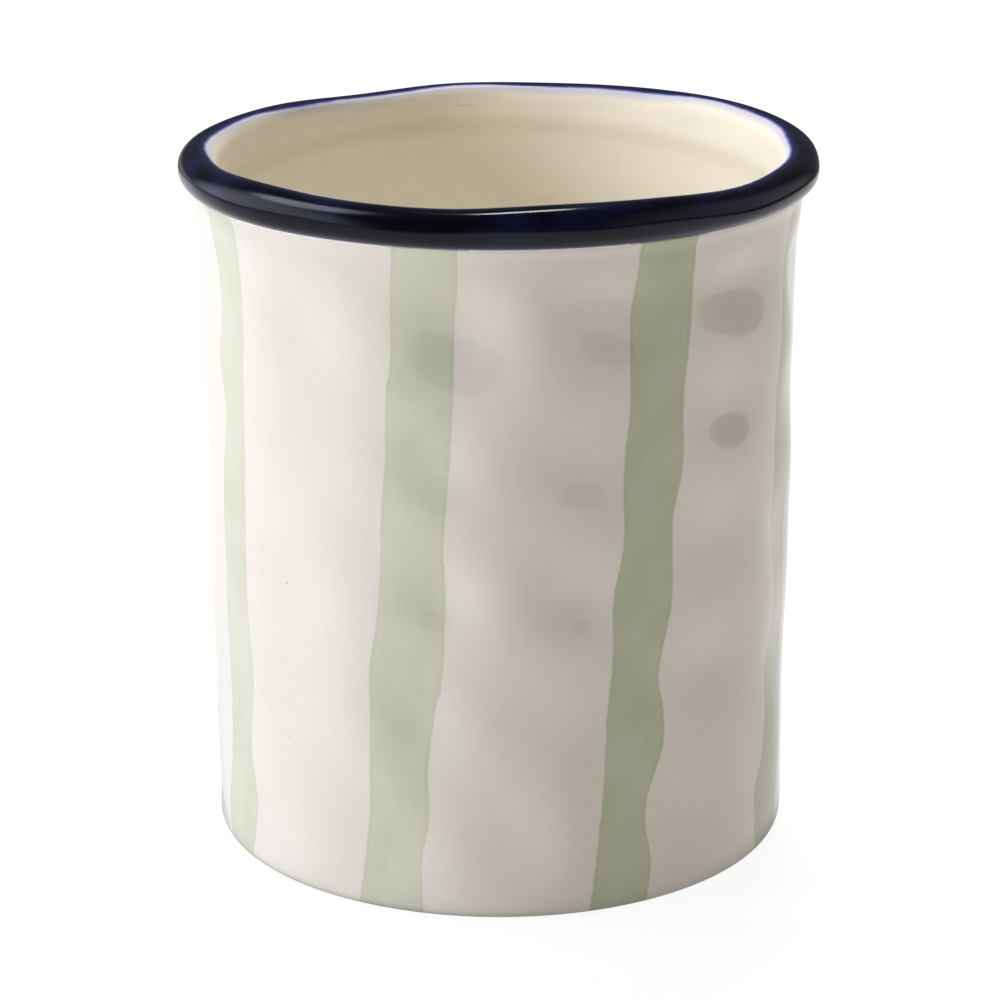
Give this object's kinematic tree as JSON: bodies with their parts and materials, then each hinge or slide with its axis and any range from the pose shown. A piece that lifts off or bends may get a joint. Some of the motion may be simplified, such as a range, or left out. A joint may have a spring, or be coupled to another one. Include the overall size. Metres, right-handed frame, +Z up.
{
  "type": "utensil crock",
  "caption": "Hand-built glazed stoneware crock: a tapered cylinder with a rolled, wavy navy lip and brushed sage stripes, open at the top to hold kitchen utensils.",
  "frame": {"origin": "middle of the foot, on the surface that the crock stands on", "axes": "+Z up out of the mouth, -Y the front as pictured, +X to the right seen from the front"},
  "size_m": [0.1517, 0.1511, 0.1704],
  "materials": {
    "white_glaze": "warm white gloss glaze over pale stoneware",
    "navy_glaze": "deep navy gloss glaze that breaks paler at its edges",
    "sage_glaze": "brushed sage green gloss glaze with soft, wandering edges"
  },
  "bodies": {
    "root": {"crock_wall": "white_glaze", "base_disc": "white_glaze", "corner_coil": "white_glaze", "lip_coil": "navy_glaze", "sage_stripe_1": "sage_glaze", "sage_stripe_2": "sage_glaze", "sage_stripe_3": "sage_glaze", "sage_stripe_4": "sage_glaze", "sage_stripe_5": "sage_glaze", "sage_stripe_6": "sage_glaze", "sage_stripe_7": "sage_glaze", "sage_stripe_8": "sage_glaze"}
  },
  "joints": []
}
